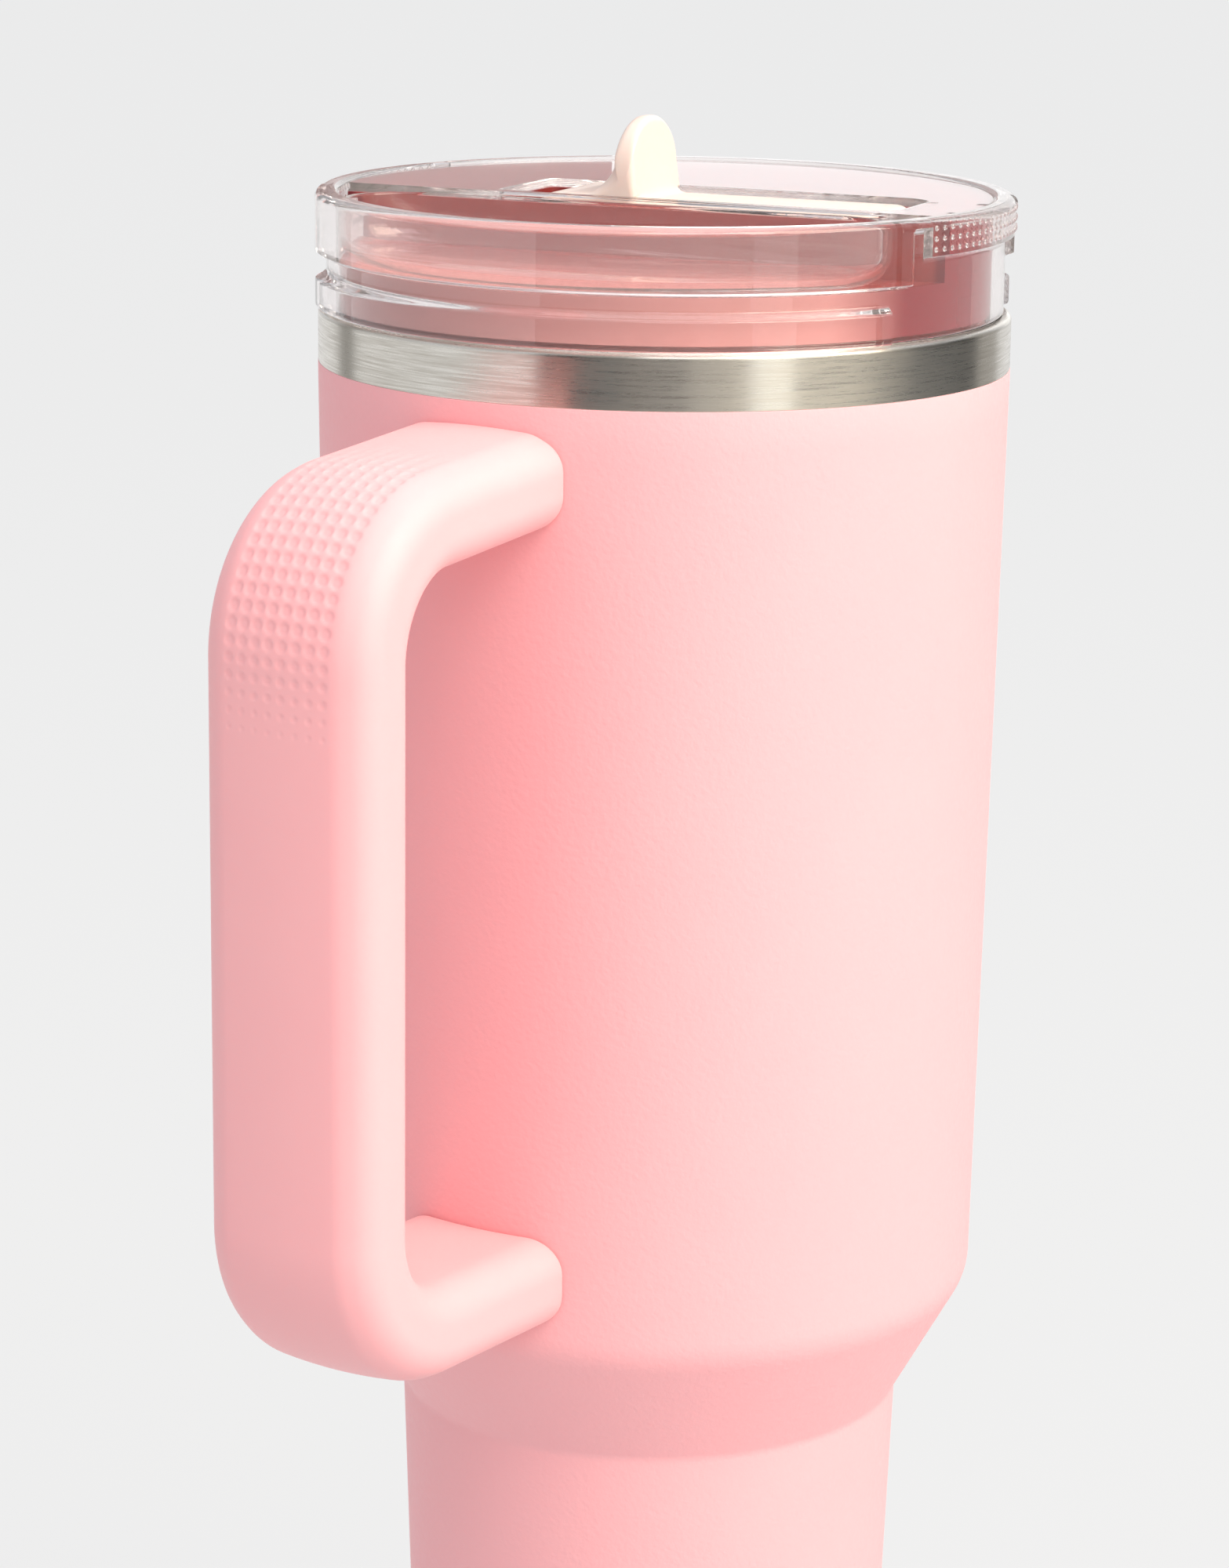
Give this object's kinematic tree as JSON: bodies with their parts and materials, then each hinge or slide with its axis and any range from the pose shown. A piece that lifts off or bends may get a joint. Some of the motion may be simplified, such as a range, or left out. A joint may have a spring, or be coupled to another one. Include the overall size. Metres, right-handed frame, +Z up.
{
  "type": "insulated tumbler",
  "caption": "Vacuum-insulated steel tumbler with a side handle, a narrow cup-holder base and a clear twist-off lid with a flip-up straw spout.",
  "frame": {"origin": "centre of the flat underside of the base pad, on the tumbler's axis", "axes": "+Z up along the tumbler's axis, -X towards the handle; the spout's mouth end lies towards -Y, turned 8 degrees about Z with the lid"},
  "size_m": [0.1466, 0.1004, 0.2763],
  "materials": {
    "powder_coat": "fine orange-peel powder coat, soft satin",
    "brushed_neck": "brushed round the neck",
    "stainless": "electropolished stainless steel",
    "handle_skin": "soft-touch satin",
    "handle_core": "moulded, unseen",
    "screw_steel": "plain stainless",
    "non_slip_pad": "matt silicone",
    "clear_lid": "clear glossy copolyester",
    "tinted_lid": "rose-tinted glossy copolyester",
    "seal_silicone": "soft silicone",
    "pale_silicone": "soft silicone",
    "spout": "satin cream",
    "straw": "smooth, slightly see-through"
  },
  "bodies": {
    "vessel": {"base_pad": "non_slip_pad", "base_disc": "stainless", "vacuum_seal": "stainless", "outer_shell": "powder_coat", "neck_band": "brushed_neck", "inner_liner": "stainless", "upper_bracket": "stainless", "lower_bracket": "stainless", "handle_core": "handle_core", "handle_skin": "handle_skin", "handle_screws": "screw_steel"},
    "seal": {"lid_gasket": "seal_silicone"},
    "lid": {"lid_shell": "clear_lid", "lid_core": "tinted_lid", "spout_seal": "pale_silicone", "hinge_pins": "screw_steel", "vent_valve": "pale_silicone", "straw_connector": "pale_silicone", "drinking_straw": "straw"},
    "spout": {"flip_spout": "spout", "hub_washers": "pale_silicone"}
  },
  "joints": [
    {"name": "lid_lift", "type": "slide", "parent": "vessel", "child": "seal", "axis": [0, 0, 1], "range_m": [0, 0.245]},
    {"name": "lid_turn", "type": "hinge", "parent": "seal", "child": "lid", "pos_m": [0, 0, 0.2494], "axis": [0, 0, 1], "range_deg": [0, 120]},
    {"name": "spout_flip", "type": "hinge", "parent": "lid", "child": "spout", "pos_m": [-0.00188, 0.01337, 0.2584], "axis": [-0.9903, -0.1392, 0], "range_deg": [0, 75]}
  ]
}
